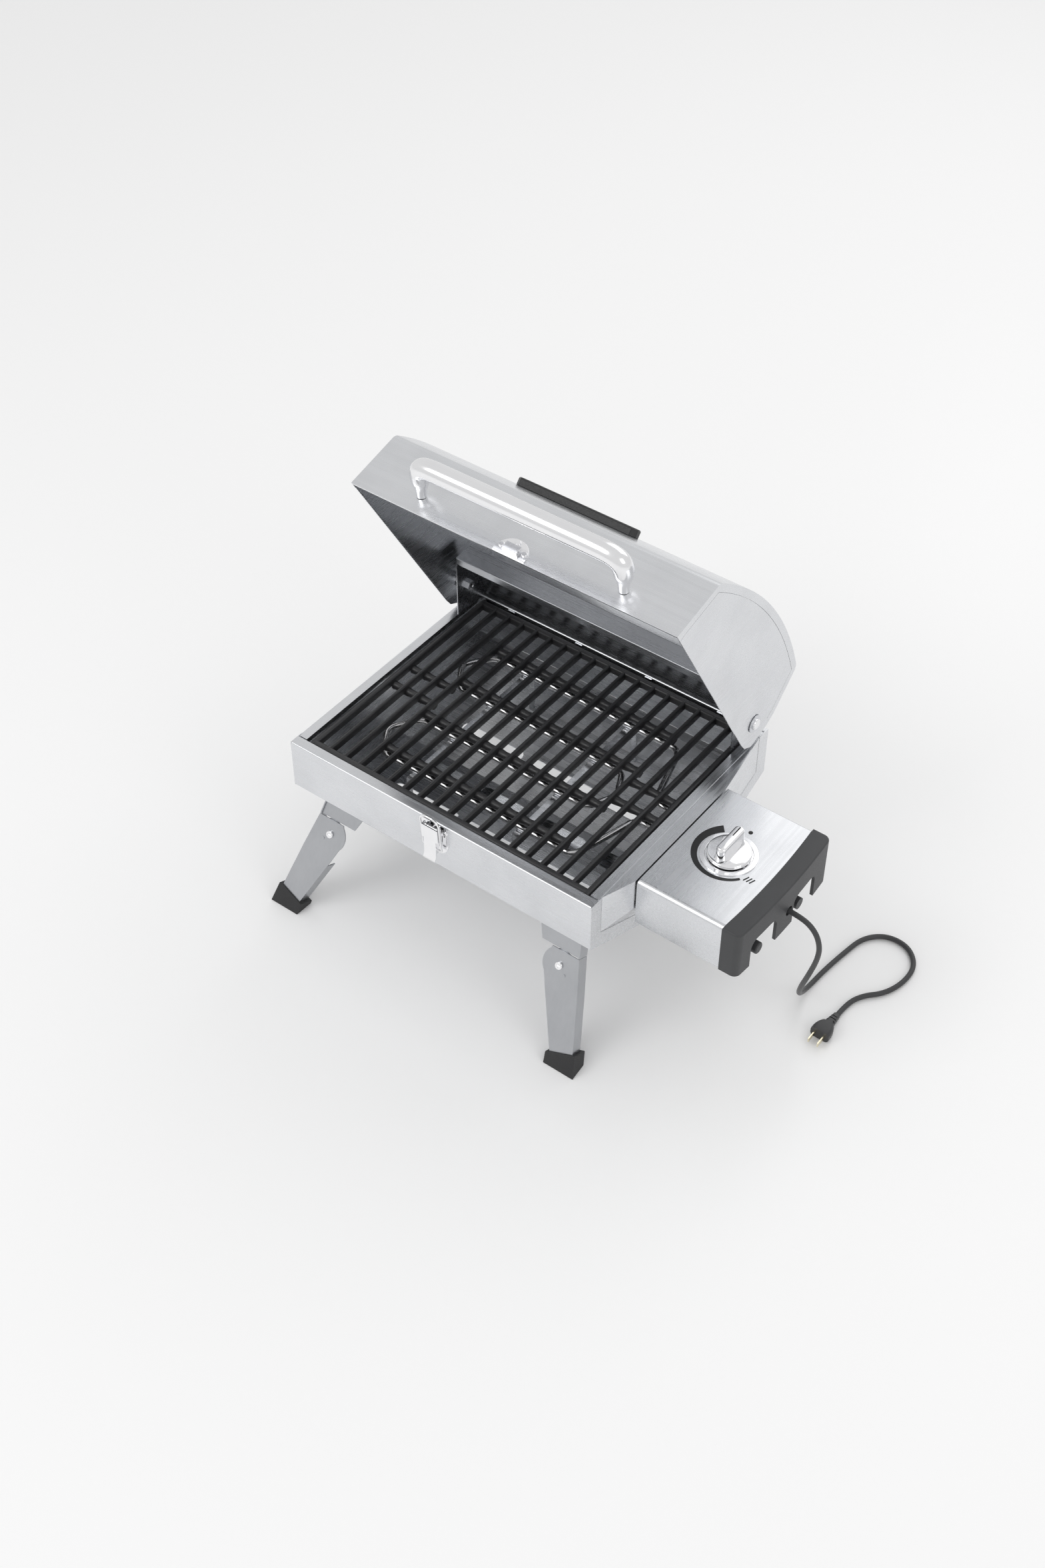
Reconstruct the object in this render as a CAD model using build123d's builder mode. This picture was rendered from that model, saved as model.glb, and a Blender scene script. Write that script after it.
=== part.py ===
from build123d import *
from math import cos, radians, sin, tan
import os

# Portable tabletop electric grill, lid open and legs unfolded.
# Millimetres, +Z up, +X towards the control box, +Y towards the lid hinge.
# The origin is on the surface it stands on, under the middle of its overall box.

# ---- driving dimensions -------------------------------------------------
BODY_W = 450.0            # firebox width, side to side
BODY_D = 370.0            # firebox depth, front panel to back panel
PANEL_H = 71.5            # height of the upright front and back panels
SLOPE_RUN = 160.0         # how far each sloping bottom panel runs inwards
SLOPE = 25.0              # slope of those panels, degrees
RIM_H = 250.0             # rim of the firebox above the surface
SHEET = 1.2               # stainless sheet
RIM_FLANGE = 12.5         # rim round the grate, at the sides
SEAM_IN = 20.0            # lip of the body wrap over the side panels

PIVOT_Y = 330.0           # lid pivot, behind the front panel
PIVOT_Z = 39.0            # and above the rim
LID_OPEN = 60.0           # how far the lid leans back, degrees
LID_HALF = 226.3          # half the lid's width

BOX_X0 = 242.5            # control box, from the body middle
BOX_X1 = 358.0
BOX_Y0 = 64.0
BOX_Y1 = 255.0
BOX_H = 69.0
KNOB_X = 302.5
KNOB_Y = 163.0
CORD_D = 6.6

GRATE_HALF = 208.7
GRATE_Y0 = 17.0
GRATE_Y1 = 358.5
GRATE_TOP = -3.0
BAR_PITCH = 22.8
BAR_W = 5.0
BARS = 17                 # bars between the two side rails of the grate
ELEMENT_Z = -26.0
ELEMENT_D = 8.0

LEG_PIVOT_X = 178.0       # leg pivots, each side of the middle
LEG_PIVOT_Y = 5.9         # and behind the front panel
LEG_PIVOT_Z = -136.7
LEG_SHEET = 1.5
LEG_DEPTH = 17.5
LEG_GAP = 0.4             # running gap between a leg and its bracket

# ---- derived ------------------------------------------------------------
BODY_X = -57.65
FRONT_Y = -185.87
HALF_W = BODY_W / 2
BOTTOM_Z = -PANEL_H - SLOPE_RUN * tan(radians(SLOPE))
MID_Y = BODY_D / 2
GRATE_MID_Y = (GRATE_Y0 + GRATE_Y1) / 2
GRATE_DEPTH = GRATE_Y1 - GRATE_Y0

os.makedirs("parts", exist_ok=True)


def side_plane(x):
    """Upright plane across the body at x: local x is +Y, local y is +Z from the rim."""
    return Plane(origin=(BODY_X + x, FRONT_Y, RIM_H), x_dir=(0, 1, 0), z_dir=(1, 0, 0))


def level_plane(z):
    """Level plane at z from the rim: local x is +X, local y is +Y from the front panel."""
    return Plane(origin=(BODY_X, FRONT_Y, RIM_H + z))


def front_plane(y):
    """Upright plane facing the front at y: local x is +X, local y is +Z from the rim."""
    return Plane(origin=(BODY_X, FRONT_Y + y, RIM_H), x_dir=(1, 0, 0), z_dir=(0, -1, 0))


def lid_plane(x):
    """Lid section plane with its origin on the pivot, leaned back as the lid stands open."""
    lean = radians(LID_OPEN)
    return Plane(
        origin=(BODY_X + x, FRONT_Y + PIVOT_Y, RIM_H + PIVOT_Z),
        x_dir=(0, cos(lean), -sin(lean)),
        z_dir=(1, 0, 0),
    )


def lid_face_plane(off, s=0.0):
    """Plane on the lid's front face, off outwards and s up from its lower edge: local y runs up the face."""
    lean = radians(LID_OPEN)
    across, up = FACE_DIR
    u = LID_CORNER[0] + s * across - off * up
    v = LID_CORNER[1] + s * up + off * across
    return Plane(
        origin=(
            BODY_X,
            FRONT_Y + PIVOT_Y + u * cos(lean) + v * sin(lean),
            RIM_H + PIVOT_Z - u * sin(lean) + v * cos(lean),
        ),
        x_dir=(1, 0, 0),
        z_dir=(0, -up * cos(lean) + across * sin(lean), up * sin(lean) + across * cos(lean)),
    )


def save(part, name):
    """Label a finished piece and write it to its own STEP file."""
    part.label = name
    export_step(part, f"parts/{name}.step")


def rod_along_x(y, z, radius, x0, x1):
    """Round bar or disc along X between two stations."""
    with BuildSketch(side_plane(x0)) as disc:
        with Locations((y, z)):
            Circle(radius)
    extrude(disc.sketch, amount=x1 - x0)


def block(x0, x1, y0, y1, z0, z1, mode=Mode.ADD):
    """Square-cornered block given by its body coordinates."""
    with BuildSketch(level_plane(z0)) as base:
        with Locations(((x0 + x1) / 2, (y0 + y1) / 2)):
            Rectangle(x1 - x0, y1 - y0)
    extrude(base.sketch, amount=z1 - z0, mode=mode)


# ---- firebox ------------------------------------------------------------
BODY_OUTLINE = [
    (0, 0),
    (0, -PANEL_H),
    (SLOPE_RUN, BOTTOM_Z),
    (BODY_D - SLOPE_RUN, BOTTOM_Z),
    (BODY_D, -PANEL_H),
    (BODY_D, 0),
]
SEAM_OUTLINE = [
    (SEAM_IN, -0.5),
    (SEAM_IN, -58.5),
    (SLOPE_RUN + 4.4, BOTTOM_Z + SEAM_IN),
    (BODY_D - SLOPE_RUN - 4.4, BOTTOM_Z + SEAM_IN),
    (BODY_D - SEAM_IN, -58.5),
    (BODY_D - SEAM_IN, -0.5),
]
SLOT_Y = 117.5            # row of long slots in the front slope, mirrored in the back slope
SLOT_L = 98.0
SLOT_W = 12.0
SLOT_PITCH = 112.0


def side_lip(x):
    """Lip of the body wrap folded over the edge of a side panel."""
    with BuildSketch(side_plane(x)) as lip:
        with BuildLine():
            Polyline(*BODY_OUTLINE, close=True)
        make_face()
        with BuildLine():
            Polyline(*SEAM_OUTLINE[1:-1], (BODY_D - SEAM_IN, 9), (SEAM_IN, 9), close=True)
        make_face(mode=Mode.SUBTRACT)
    extrude(lip.sketch, amount=SHEET)


with BuildPart() as firebox_shell:
    with BuildSketch(side_plane(-HALF_W)):
        with BuildLine():
            FilletPolyline(
                (15, -8), (15, 0), *BODY_OUTLINE, (361, 0), (361, -8),
                radius=2,
            )
            offset(amount=SHEET, side=Side.LEFT)
        make_face()
    extrude(amount=BODY_W)
    side_lip(-HALF_W)
    side_lip(HALF_W - SHEET)
    for x in (-HALF_W + SHEET, HALF_W - 2 * SHEET - 0.3):
        for y in (13, 360.8):
            block(x, x + SHEET + 0.3, y, y + 2.2, -9, -SHEET, Mode.SUBTRACT)
    with BuildSketch(level_plane(BOTTOM_Z - 3)):
        for y in (SLOT_Y, BODY_D - SLOT_Y):
            with Locations((0, y)):
                with GridLocations(SLOT_PITCH, 10, 3, 1):
                    SlotOverall(SLOT_L, SLOT_W)
        with Locations((0, MID_Y)):
            with GridLocations(96, 10, 4, 1):
                SlotOverall(74, 26)
    extrude(amount=36, mode=Mode.SUBTRACT)
save(firebox_shell.part, "firebox_shell")


def panel_sheet(x):
    """Side panel sheet lying against the inside of the wrap's lips."""
    with BuildSketch(side_plane(x)) as sheet:
        with BuildLine():
            Polyline(*BODY_OUTLINE, close=True)
        make_face()
        offset(amount=-SHEET - 0.3, mode=Mode.REPLACE)
    extrude(sheet.sketch, amount=SHEET)


def rim_lip(side):
    """Top flange of a side panel with its turned-down inner edge."""
    inner = side * (HALF_W - RIM_FLANGE)
    outer = side * (HALF_W - SHEET)
    edge = inner + side * SHEET
    block(min(inner, outer), max(inner, outer), 15.5, 360.5, -SHEET - 0.3, -0.3)
    block(min(inner, edge), max(inner, edge), 15.5, 360.5, -8, -0.3)


with BuildPart() as side_panel_left:
    panel_sheet(-HALF_W + SHEET)
    with BuildSketch(side_plane(-HALF_W + 0.1)):
        with BuildLine():
            Polyline(*SEAM_OUTLINE, close=True)
        make_face()
        offset(amount=-0.4, mode=Mode.REPLACE)
    extrude(amount=SHEET)
    rim_lip(-1)
save(side_panel_left.part, "side_panel_left")

ADAPTER_X = 240.5         # the right side panel swells out to here
ADAPTER_FOOT = [(20.6, -0.3), (20.6, -58.4), (72, -82.2), (298, -82.2), (349.4, -58.4), (349.4, -0.3)]
ADAPTER_HEAD = [(64, -0.3), (64, -46), (78, -58), (240, -58), (254, -46), (254, -0.3)]

with BuildPart() as side_panel_right:
    panel_sheet(HALF_W - 2 * SHEET)
    with BuildSketch(side_plane(HALF_W - SHEET - 0.1)):
        with BuildLine():
            Polyline(*SEAM_OUTLINE, close=True)
        make_face()
        offset(amount=-0.4, mode=Mode.REPLACE)
    extrude(amount=SHEET)
    with BuildSketch(side_plane(HALF_W - 0.2)):
        with BuildLine():
            Polyline(*ADAPTER_FOOT, close=True)
        make_face()
    with BuildSketch(side_plane(ADAPTER_X)):
        with BuildLine():
            Polyline(*ADAPTER_HEAD, close=True)
        make_face()
    loft()
    rim_lip(1)
    # hollow of the adapter, open below so the box's wiring can pass through
    with BuildSketch(side_plane(HALF_W - 4)):
        with Locations((159, -34)):
            Rectangle(170, 34)
    extrude(amount=18, mode=Mode.SUBTRACT)
save(side_panel_right.part, "side_panel_right")

# ---- cooking grate ------------------------------------------------------
BAR_H = 11.0
BOSS_R = 6.2

with BuildPart() as cooking_grate:
    with BuildSketch(level_plane(GRATE_TOP - BAR_H)):
        with Locations((0, GRATE_MID_Y)):
            RectangleRounded(2 * GRATE_HALF, GRATE_DEPTH, 4)
            Rectangle(2 * GRATE_HALF - 14, GRATE_DEPTH - 17, mode=Mode.SUBTRACT)
            with GridLocations(BAR_PITCH, 10, BARS, 1):
                Rectangle(BAR_W, GRATE_DEPTH - 8)
    extrude(amount=BAR_H)
    # round bosses bridge the bars above each run of the heating element
    for side in (-1, 1):
        for row, x0, x1 in (
            (18.5, -201.7, -6 * BAR_PITCH),
            (18.5, 6 * BAR_PITCH, 201.7),
            (37.0, -6 * BAR_PITCH, 6 * BAR_PITCH),
            (111.0, -6 * BAR_PITCH, 6 * BAR_PITCH),
        ):
            rod_along_x(GRATE_MID_Y + side * row, GRATE_TOP - 6 - BOSS_R, BOSS_R, x0, x1)
save(cooking_grate.part, "cooking_grate")

with BuildPart() as grate_rests:
    for x in (-163, -55, 53, 161):
        for y0, y1, web in ((350, 361, 359.8), (15, 26, 15)):
            block(x - 5, x + 5, y0, y1, -15.4, -14.2)
            block(x - 5, x + 5, web, web + 1.2, -15.4, -3)
save(grate_rests.part, "grate_rests")

# ---- heating element and its supports -----------------------------------
with BuildPart() as heating_element:
    for side in (-1, 1):
        with BuildLine(level_plane(ELEMENT_Z)) as rod:
            FilletPolyline(
                (218, MID_Y + side * 18.5),
                (172, MID_Y + side * 18.5),
                (146, MID_Y + side * 111),
                (-140, MID_Y + side * 111),
                (-166, MID_Y + side * 74),
                (-140, MID_Y + side * 37),
                (112, MID_Y + side * 37),
                (130, MID_Y),
                radius=16,
            )
        with BuildSketch(Plane(origin=rod.line @ 0, z_dir=rod.line % 0)):
            Circle(ELEMENT_D / 2)
        sweep(path=rod.line)
    split(bisect_by=Plane.YZ.offset(BODY_X - 400), keep=Keep.TOP)
save(heating_element.part, "heating_element")

with BuildPart() as element_supports:
    for x in (-90, 70):
        block(x - 4, x + 4, MID_Y - 124, MID_Y + 124, ELEMENT_Z - 5.4, ELEMENT_Z - 4.1)
        for side in (-1, 1):
            y = MID_Y + side * 124
            block(x - 4, x + 4, y - 0.7, y + 0.7, -98.2, ELEMENT_Z - 4.1)
    with BuildSketch(side_plane(HALF_W - 18.6)):
        with Locations((MID_Y, ELEMENT_Z)):
            RectangleRounded(62, 24, 5)
        with Locations((MID_Y - 18.5, ELEMENT_Z), (MID_Y + 18.5, ELEMENT_Z)):
            Circle(ELEMENT_D / 2, mode=Mode.SUBTRACT)
    extrude(amount=1.5)
save(element_supports.part, "element_supports")

# ---- grease tray --------------------------------------------------------
TRAY_TOP = -149.4

with BuildPart() as grease_tray:
    block(-235, 222, 163.5, 206.5, -168.4, TRAY_TOP)
    block(-234, 221, 164.5, 205.5, -167.4, TRAY_TOP, Mode.SUBTRACT)
    for y0, y1 in ((160.4, 163.5), (206.5, 209.6)):
        block(-235, 222, y0, y1, TRAY_TOP - 1, TRAY_TOP)
    # pull lip at the open end
    block(-243, -235, 166, 204, -168.4, -167.2)
    block(-244.2, -243, 166, 204, -168.4, -161)
save(grease_tray.part, "grease_tray")

with BuildPart() as tray_rails:
    for web, lip in ((158.6, 158.6), (210.2, 207.4)):
        block(-205, 212, web, web + 1.2, -152.6, BOTTOM_Z - 0.02)
        block(-205, 212, lip, lip + 4, -152.6, -151.4)
    block(222.6, 223.8, 172, 198, -160, BOTTOM_Z - 0.02)
save(tray_rails.part, "tray_rails")

# ---- side carry handle --------------------------------------------------
with BuildPart() as carry_handle:
    with BuildLine(level_plane(-98)) as loop:
        FilletPolyline((-HALF_W, 116), (-268, 116), (-268, 254), (-HALF_W, 254), radius=14)
    with BuildSketch(Plane(origin=loop.line @ 0, z_dir=loop.line % 0)):
        Circle(3.2)
    sweep(path=loop.line)
    for y in (116, 254):
        rod_along_x(y, -98, 8, -HALF_W - 2, -HALF_W - 0.1)
save(carry_handle.part, "carry_handle")

# ---- rear heat guard and lid hinge --------------------------------------
GUARD_X = 210.4
BOLT_R = 4.0

with BuildPart() as rear_guard:
    with BuildSketch(side_plane(-GUARD_X + SHEET)):
        with BuildLine():
            FilletPolyline((308, 86), (308, 95.7), (338, 95.7), (362, 7), (362, 1.3), (369, 1.3), radius=1.5)
            offset(amount=SHEET, side=Side.RIGHT)
        make_face()
    extrude(amount=2 * (GUARD_X - SHEET))
save(rear_guard.part, "rear_guard")

with BuildPart() as guard_end_plates:
    for x in (-GUARD_X, GUARD_X - SHEET):
        with BuildSketch(side_plane(x)):
            with BuildLine():
                Polyline((308, 0.1), (308, 95.7), (338, 95.7), (362, 7), (362, 0.1), close=True)
            make_face()
            with Locations((PIVOT_Y, PIVOT_Z)):
                Circle(BOLT_R, mode=Mode.SUBTRACT)
        extrude(amount=SHEET)
save(guard_end_plates.part, "guard_end_plates")

with BuildPart() as hinge_bolts:
    for side in (-1, 1):
        inner = side * (GUARD_X - 6)
        outer = side * (LID_HALF + 0.3)
        rod_along_x(PIVOT_Y, PIVOT_Z, BOLT_R, min(inner, outer), max(inner, outer))
        head = side * (LID_HALF + 4.6)
        rod_along_x(PIVOT_Y, PIVOT_Z, 7.5, min(outer, head), max(outer, head))
    fillet(hinge_bolts.faces().sort_by(Axis.X)[0].edges(), radius=2.4)
    fillet(hinge_bolts.faces().sort_by(Axis.X)[-1].edges(), radius=2.4)
save(hinge_bolts.part, "hinge_bolts")

with BuildPart() as hinge_washers:
    for side in (-1, 1):
        with BuildSketch(side_plane(side * (LID_HALF + 1.0) - 0.6)):
            with Locations((PIVOT_Y, PIVOT_Z)):
                Circle(12)
                Circle(7.5, mode=Mode.SUBTRACT)
        extrude(amount=1.2)
save(hinge_washers.part, "hinge_washers")

with BuildPart() as hinge_bushings:
    for side in (-1, 1):
        with BuildSketch(side_plane(side * (GUARD_X + 6.6) - 6.5)):
            with Locations((PIVOT_Y, PIVOT_Z)):
                Circle(8)
                Circle(BOLT_R, mode=Mode.SUBTRACT)
        extrude(amount=13)
save(hinge_bushings.part, "hinge_bushings")

with BuildPart() as hinge_nuts:
    for side in (-1, 1):
        with BuildSketch(side_plane(side * (GUARD_X - 4) - 2.8)):
            with Locations((PIVOT_Y, PIVOT_Z)):
                RegularPolygon(7.5, 6)
                Circle(BOLT_R, mode=Mode.SUBTRACT)
        extrude(amount=5.5)
save(hinge_nuts.part, "hinge_nuts")

# ---- lid ----------------------------------------------------------------
LID_CORNER = (-322.8, -31.5)      # front lower corner of the closed lid, from the pivot
FACE_TOP = (-300.2, 49.1)
ROOF_MID = (-140.0, 98.2)
ROOF_END = (22.0, 92.5)
BACK_END = (37.3, 31.2)
FACE_RUN = FACE_TOP[0] - LID_CORNER[0]
FACE_RISE = FACE_TOP[1] - LID_CORNER[1]
FACE_LEN = (FACE_RUN**2 + FACE_RISE**2) ** 0.5
FACE_DIR = (FACE_RUN / FACE_LEN, FACE_RISE / FACE_LEN)
WRAP_END = 20.0                   # the wrap stops this far above the pivot at the back
LIP_W = 10.0
FOLD_R = 12.0


def lid_outline():
    """Full end outline of the lid."""
    with BuildLine() as edge:
        Line(LID_CORNER, FACE_TOP)
        ThreePointArc(FACE_TOP, ROOF_MID, ROOF_END)
        Polyline(ROOF_END, BACK_END, (38.3, 13.2), (30.5, -20.5), (17, -30.0), (3, -31.5), LID_CORNER)
    make_face(edge.edges())
    folds = [v for v in vertices() if v.Y > FACE_TOP[1] - 0.1]
    return fillet(folds, radius=FOLD_R)


def lid_section(lip):
    """Wrap section or end lip: the outline less its inside, open along the bottom and low at the back."""
    with BuildSketch(Plane.XY) as section:
        lid_outline()
        inside = offset(section.sketch, amount=-lip, mode=Mode.PRIVATE)
        add(inside, mode=Mode.SUBTRACT)
        start = LID_CORNER[0] + lip * 1.04 + 2.5
        with Locations((start, -34)):
            Rectangle(60 - start, 34 - 31.5 + lip + 0.1, align=Align.MIN, mode=Mode.SUBTRACT)
        with Locations((0, -34)):
            Rectangle(60, 34 + WRAP_END, align=Align.MIN, mode=Mode.SUBTRACT)
    return section.sketch


with BuildPart() as lid_shell:
    with BuildSketch(lid_plane(-LID_HALF)):
        add(lid_section(SHEET))
    extrude(amount=2 * LID_HALF)
    for x in (-LID_HALF, LID_HALF - SHEET):
        with BuildSketch(lid_plane(x)):
            add(lid_section(LIP_W))
        extrude(amount=SHEET)
    # hemmed front edge
    with BuildSketch(lid_face_plane(-2 * SHEET - 0.05, 5.4)):
        Rectangle(2 * LID_HALF - 6, 9)
    extrude(amount=SHEET + 0.1)
save(lid_shell.part, "lid_shell")


def lid_end(side):
    """End panel of the lid: a sheet behind the wrap's lip with its middle pressed out flush."""
    sheet_x = side * (LID_HALF - 1.5 * SHEET) - SHEET / 2
    face_x = side * (LID_HALF - SHEET / 2 - 0.1) - SHEET / 2
    with BuildPart() as panel:
        with BuildSketch(lid_plane(sheet_x)):
            lid_outline()
            offset(amount=-SHEET - 0.3, mode=Mode.REPLACE)
        extrude(amount=SHEET)
        with BuildSketch(lid_plane(face_x)):
            lid_outline()
            offset(amount=-0.3, mode=Mode.REPLACE)
            add(lid_section(LIP_W + 0.4), mode=Mode.SUBTRACT)
        extrude(amount=SHEET)
        with BuildSketch(lid_plane(side * LID_HALF - 10)):
            Circle(BOLT_R + 0.06)
        extrude(amount=20, mode=Mode.SUBTRACT)
    return panel.part


save(lid_end(-1), "lid_end_left")
save(lid_end(1), "lid_end_right")

# ---- lid handle ---------------------------------------------------------
HANDLE_S = 30.0
HANDLE_OFF = 47.5
HANDLE_HALF = 140.5
HANDLE_R = 12.5

with BuildPart() as lid_handle:
    across = lid_face_plane(0, HANDLE_S)
    with BuildLine(Plane(origin=across.origin, x_dir=(1, 0, 0), z_dir=-across.y_dir)) as grip:
        FilletPolyline(
            (-HANDLE_HALF, 22), (-HANDLE_HALF, HANDLE_OFF), (HANDLE_HALF, HANDLE_OFF), (HANDLE_HALF, 22),
            radius=25,
        )
    with BuildSketch(Plane(origin=grip.line @ 0, z_dir=grip.line % 0)):
        Circle(HANDLE_R)
    sweep(path=grip.line)
    for side in (-1, 1):
        with BuildSketch(lid_face_plane(22, HANDLE_S)):
            with Locations((side * HANDLE_HALF, 0)):
                Circle(HANDLE_R)
        with BuildSketch(lid_face_plane(0.05, HANDLE_S - 5)):
            with Locations((side * HANDLE_HALF, 0)):
                Ellipse(7, 9)
        loft()
save(lid_handle.part, "lid_handle")

with BuildPart() as handle_screws:
    with BuildSketch(lid_face_plane(-SHEET - 2.6, HANDLE_S - 5)):
        with Locations((-HANDLE_HALF, 0), (HANDLE_HALF, 0)):
            Circle(5.5)
    extrude(amount=2.5)
save(handle_screws.part, "handle_screws")

with BuildPart() as strike_plate:
    with BuildSketch(lid_face_plane(0.05, 4)):
        with Locations((0, 0)):
            Circle(22)
            Rectangle(60, 30, align=(Align.CENTER, Align.MAX), mode=Mode.SUBTRACT)
        with Locations((0, -1.5)):
            Rectangle(44, 3)
    extrude(amount=1.3)
    with BuildSketch(lid_face_plane(1.3, 9)):
        Rectangle(20, 9)
        Rectangle(16, 5, mode=Mode.SUBTRACT)
    extrude(amount=4)
    with BuildSketch(lid_face_plane(5.2, 10)):
        Rectangle(20, 11)
    extrude(amount=1.2)
save(strike_plate.part, "strike_plate")

with BuildPart() as strike_screws:
    with BuildSketch(lid_face_plane(1.35, 4)):
        with Locations((-16, 7), (16, 7), (0, 17)):
            Circle(3.6)
    extrude(amount=1.6)
    fillet(strike_screws.edges().filter_by(GeomType.CIRCLE).group_by(SortBy.RADIUS)[-1], radius=0.7)
save(strike_screws.part, "strike_screws")

with BuildPart() as lid_badge:
    roof_lean = radians(LID_OPEN)
    u, v = -244.0, 72.9
    badge_plane = Plane(
        origin=(
            BODY_X,
            FRONT_Y + PIVOT_Y + u * cos(roof_lean) + v * sin(roof_lean),
            RIM_H + PIVOT_Z - u * sin(roof_lean) + v * cos(roof_lean),
        ),
        x_dir=(1, 0, 0),
        z_dir=(0, -sin(radians(18.6 - LID_OPEN)), cos(radians(18.6 - LID_OPEN))),
    )
    with BuildSketch(badge_plane.offset(-2)):
        Rectangle(168, 20)
        chamfer(vertices(), length=6)
    extrude(amount=12)
    chamfer(lid_badge.faces().sort_by(Axis((0, 0, 0), badge_plane.z_dir))[-1].edges(), length=1.5)
    with BuildSketch(lid_plane(-100)):
        lid_outline()
    extrude(amount=200, mode=Mode.SUBTRACT)
save(lid_badge.part, "lid_badge")

# ---- draw latch ---------------------------------------------------------
LATCH_PIVOT = (-6.6, -4.4)        # lever pivot, y and z
BAIL_PIVOT = (-6.4, -37.0)        # bail pivot, carried by the lever

with BuildPart() as latch_base:
    with BuildSketch(front_plane(-0.05)):
        with Locations((0, -14.5)):
            Rectangle(40, 27)
        with Locations((0, -28)):
            Circle(20)
    extrude(amount=1.3)
    for x in (-8.6, 7.4):
        block(x, x + 1.2, LATCH_PIVOT[0], -1.3, LATCH_PIVOT[1] - 2.8, LATCH_PIVOT[1] + 2.8)
        rod_along_x(*LATCH_PIVOT, 2.8, x, x + 1.2)
    rod_along_x(*LATCH_PIVOT, 1.5, -12.4, 12.4)
save(latch_base.part, "latch_base")

with BuildPart() as latch_rivets:
    with BuildSketch(front_plane(-1.35)):
        with Locations((-16, -10), (16, -10), (0, -42.5)):
            Circle(2.8)
    extrude(amount=1.3)
    fillet(latch_rivets.faces().sort_by(Axis.Y)[0].edges(), radius=0.6)
save(latch_rivets.part, "latch_rivets")

with BuildPart() as latch_lever:
    block(-12, 12, -11.2, -10.0, -21, -0.6)
    for x in (-12, 10.8):
        block(x, x + 1.2, -11.2, -4.6, -21, -0.6)
    block(-9, 9, -11.2, -10.0, -47, -20)
    for x in (-9, 7.8):
        block(x, x + 1.2, -11.2, -4.6, -40.5, -20)
    with BuildSketch(side_plane(-9)):
        with BuildLine():
            Polyline((-11.2, -46), (-10.0, -46), (-13.2, -52.5), (-14.3, -52.0), close=True)
        make_face()
    extrude(amount=18)
    with BuildSketch(side_plane(-20)):
        with Locations(LATCH_PIVOT):
            Circle(1.56)
        with Locations(BAIL_PIVOT):
            Circle(1.36)
    extrude(amount=40, mode=Mode.SUBTRACT)
save(latch_lever.part, "latch_lever")

with BuildPart() as latch_bail:
    bail_face = Plane(
        origin=(BODY_X, FRONT_Y + BAIL_PIVOT[0], RIM_H + BAIL_PIVOT[1]),
        x_dir=(1, 0, 0),
        z_dir=(0, -cos(radians(5)), -sin(radians(5))),
    )
    with BuildLine(bail_face) as wire:
        FilletPolyline((-5, 0), (-13.9, 0), (-13.9, 53), (13.9, 53), (13.9, 0), (5, 0), radius=[2.6, 11, 11, 2.6])
    with BuildSketch(Plane(origin=wire.line @ 0, z_dir=wire.line % 0)):
        Circle(1.3)
    sweep(path=wire.line)
save(latch_bail.part, "latch_bail")

# ---- control box --------------------------------------------------------
CAP_BOW = 4.5             # how far the cap's edges bow out at the middle
CAP_X = 382.0             # outer face of the cap at its ends
BOX_SHEET = 1.2


def bow(x, y0, y1, far):
    """Plan shape from far inside the box out to a bowed edge at x."""
    with BuildLine() as edge:
        Polyline((x, y0), (far, y0), (far, y1), (x, y1))
        ThreePointArc((x, y1), (x + CAP_BOW, (y0 + y1) / 2), (x, y0))
    return make_face(edge.edges())


with BuildPart() as control_box:
    with BuildSketch(side_plane(BOX_X0)):
        with BuildLine():
            FilletPolyline(
                (BOX_Y0 + 15, -BOX_H), (BOX_Y0, -BOX_H), (BOX_Y0, -0.2),
                (BOX_Y1, -0.2), (BOX_Y1, -BOX_H), (BOX_Y1 - 15, -BOX_H),
                radius=[2, 7, 4, 2],
            )
            offset(amount=BOX_SHEET, side=Side.RIGHT)
        make_face()
    extrude(amount=BOX_X1 + CAP_BOW - BOX_X0)
    block(BOX_X0, BOX_X0 + BOX_SHEET, BOX_Y0 + 3, BOX_Y1 - 3, -BOX_H + 2, -1)
    with BuildSketch(level_plane(-BOX_H - 1)):
        bow(BOX_X1 - 0.3, BOX_Y0 - 1, BOX_Y1 + 1, BOX_X0 - 1)
    extrude(amount=BOX_H + 2, mode=Mode.INTERSECT)
    with BuildSketch(level_plane(-3)):
        with Locations((KNOB_X, KNOB_Y)):
            Circle(27.6)
    extrude(amount=4, mode=Mode.SUBTRACT)
save(control_box.part, "control_box")

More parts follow.
